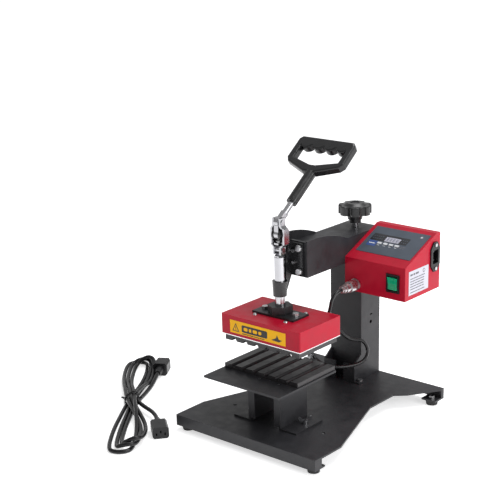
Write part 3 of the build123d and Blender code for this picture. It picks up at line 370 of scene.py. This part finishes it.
def panel_marks():
    """The key-pad film: dark strip, blue block, display frame and small generic marks."""
    def put(name, outlines, material, lift=FILM_LIFT):
        add_marks(name, outlines, PANEL_FOOT + PANEL_OUT * FILM_THICK, X, PANEL_UP, lift, "frame",
                  material)

    put("panel_dark_strip", [rounded_rect(26, 52.6, 53, 70.5, 1.5), rounded_rect(82.7, 98, 53, 70.5, 1.5),
                             rounded_rect(52.2, 83.1, 67.2, 70.5, 0.2),
                             rounded_rect(52.2, 83.1, 53, 53.9, 0.2)],
        BLACK_FILM)
    put("panel_blue_block", [rounded_rect(27, 44.8, 38, 52, 1.2)], BLUE_FILM)
    light = [rounded_rect(29 + 4.2 * i, 31.6 + 4.2 * i, v, v + 1.6, 0.5) for i in range(5)
             for v in MARK_ROWS]
    light += [rounded_rect(85.5 + 4 * i, 87.9 + 4 * i, v, v + 1.6, 0.5) for i in range(3)
              for v in MARK_ROWS]
    put("panel_strip_marks", light, FILM, FILM_LIFT * 2)
    put("panel_block_mark", [rounded_rect(30, 41.5, 44, 46.2, 1.1)], KEY, FILM_LIFT * 2)
    put("panel_key_marks", [rounded_rect(x - 2.4, x + 2.4, 42.0, 43.0, 0.4) for x in KEY_X], KEY)
    side_marks = bars(86, 108, 47, (5, 3, 6), 1.4) + bars(86, 108, 43.5, (3, 6, 3), 1.4)
    put("panel_side_marks", side_marks, GREY_INK)
    put("panel_lamp_ring", [rounded_rect(110.2, 117.0, 76.2, 82.8, 3.4)], GREY_INK, FILM_LIFT * 0.8)
    digits = [rounded_rect(57 + 6 * i, 57.9 + 6 * i, 57, 63.5, 0.3) for i in range(4)]
    digits += [rounded_rect(57 + 6 * i, 60.5 + 6 * i, v, v + 0.8, 0.3) for i in range(4)
               for v in (57, 59.9, 62.8)]
    add_marks("display_marks", digits, PANEL_FOOT + PANEL_OUT * SCREEN_THICK, X, PANEL_UP, 0.1, "frame",
              LCD_INK)


def label_marks():
    """Warning label: triangle sign, dark block with plain bars, a row of short bars and a heat sign."""
    def put(name, outlines, material, lift=FILM_LIFT):
        add_marks(name, outlines, LABEL_FACE, X, Z, lift, "press_head", material)

    put("label_block", [rounded_rect(-38, 16, 168.5, 180.8, 2.5)], INK)
    put("label_block_bars", bars(-33.5, 12, 171.8, (8, 5, 9, 6, 8), 5.6), YELLOW, FILM_LIFT * 2)
    put("label_sign", [[(-58, 167.5), (-43.5, 167.5), (-50.75, 181.5)]], INK)
    put("label_sign_inside", [[(-55.6, 168.9), (-45.9, 168.9), (-50.75, 178.6)]], YELLOW, FILM_LIFT * 2)
    put("label_sign_stroke", [rounded_rect(-51.4, -50.1, 171.6, 175.8, 0.5),
                              rounded_rect(-51.4, -50.1, 169.7, 170.8, 0.5)], INK, FILM_LIFT * 3)
    flame = [(24, 169), (40, 168), (47, 172), (40, 172.6), (36, 179.5), (34.5, 174), (31, 172.5)]
    put("label_hot_sign", [flame], INK)
    put("label_foot_line", bars(-37, 16, 165.4, (14, 9, 12, 10), 1.4), INK)


def rating_marks():
    """Rating sticker: lines of grey bars and a ring mark, with nothing legible."""
    marks = bars(92, 124, 247.5, (7, 5, 9, 6), 3.2)
    patterns = ((9, 14, 6, 11), (6, 8, 15, 9), (12, 7, 9, 10), (8, 8, 8, 12), (14, 10, 7, 6))
    for i, pattern in enumerate(patterns):
        marks += bars(92, 141, 241.5 - 4.4 * i, pattern, 1.5)
    marks += bars(92, 141, 218.5, (20, 8, 12), 1.5)
    marks.append(rounded_rect(128, 135, 245.5, 252.5, 3.5))
    add_marks("rating_print", marks, RATING_FACE, Y, Z, FILM_LIFT, "frame", GREY_INK)
    add_marks("rating_ring_inside", [rounded_rect(129.4, 133.6, 246.9, 251.1, 2.1)], RATING_FACE, Y, Z,
              FILM_LIFT * 2, "frame", WHITE_FILM)


panel_marks()
label_marks()
rating_marks()


# ---------------------------------------------------------------- light and floor
FLOOR_SIZE = 40.0          # half its side, in metres, so its edge is out of sight
FLOOR_GLOW = 0.6           # lifts the floor to the photograph's white
WORLD_FRONT, WORLD_BACK = 0.38, 0.6
WORLD_FADE = 0.35          # how far to each side of straight overhead the world changes between them


def add_stage():
    """White paper floor that glows a little, so that only the press's shadow shows on it."""
    mesh = bpy.data.meshes.new("floor")
    bm = bmesh.new()
    bmesh.ops.create_grid(bm, x_segments=1, y_segments=1, size=FLOOR_SIZE)
    bm.to_mesh(mesh)
    bm.free()
    floor = bpy.data.objects.new("floor", mesh)
    bpy.context.collection.objects.link(floor)
    material = node_material("floor_paper", (0.93, 0.93, 0.94), 0.7, spread=0.005, rough_spread=0.02)
    shader = material.node_tree.nodes["Principled BSDF"]
    shader.inputs["Emission Color"].default_value = (1, 1, 1, 1)
    shader.inputs["Emission Strength"].default_value = FLOOR_GLOW
    mesh.materials.append(material)


def add_light(name, place, target, size, power):
    """Soft box at place, turned to the target."""
    data = bpy.data.lights.new(name, "AREA")
    data.shape = "RECTANGLE"
    data.size, data.size_y = size
    data.energy = power
    lamp = bpy.data.objects.new(name, data)
    lamp.location = place
    lamp.rotation_euler = (Vector(target) - Vector(place)).to_track_quat("-Z", "Y").to_euler()
    bpy.context.collection.objects.link(lamp)


def add_world():
    """White studio, brighter behind the press than in front of it."""
    world = bpy.data.worlds.new("studio")
    world.use_nodes = True
    nodes, links = world.node_tree.nodes, world.node_tree.links
    nodes["Background"].inputs["Color"].default_value = (1.0, 1.0, 1.0, 1.0)
    where = nodes.new("ShaderNodeTexCoord")
    split = nodes.new("ShaderNodeSeparateXYZ")
    links.new(where.outputs["Generated"], split.inputs["Vector"])
    level = nodes.new("ShaderNodeMapRange")
    level.inputs["From Min"].default_value = -WORLD_FADE
    level.inputs["From Max"].default_value = WORLD_FADE
    level.inputs["To Min"].default_value = WORLD_FRONT
    level.inputs["To Max"].default_value = WORLD_BACK
    links.new(split.outputs["Y"], level.inputs["Value"])
    links.new(level.outputs["Result"], nodes["Background"].inputs["Strength"])
    bpy.context.scene.world = world


add_stage()
add_world()
add_light("right_softbox", (2.2, 0.1, 1.0), (0, 0, 0.15), (1.4, 1.2), 24.0)
add_light("top_softbox", (0.3, 0.7, 2.2), (0, 0, 0.1), (1.6, 1.2), 30.0)
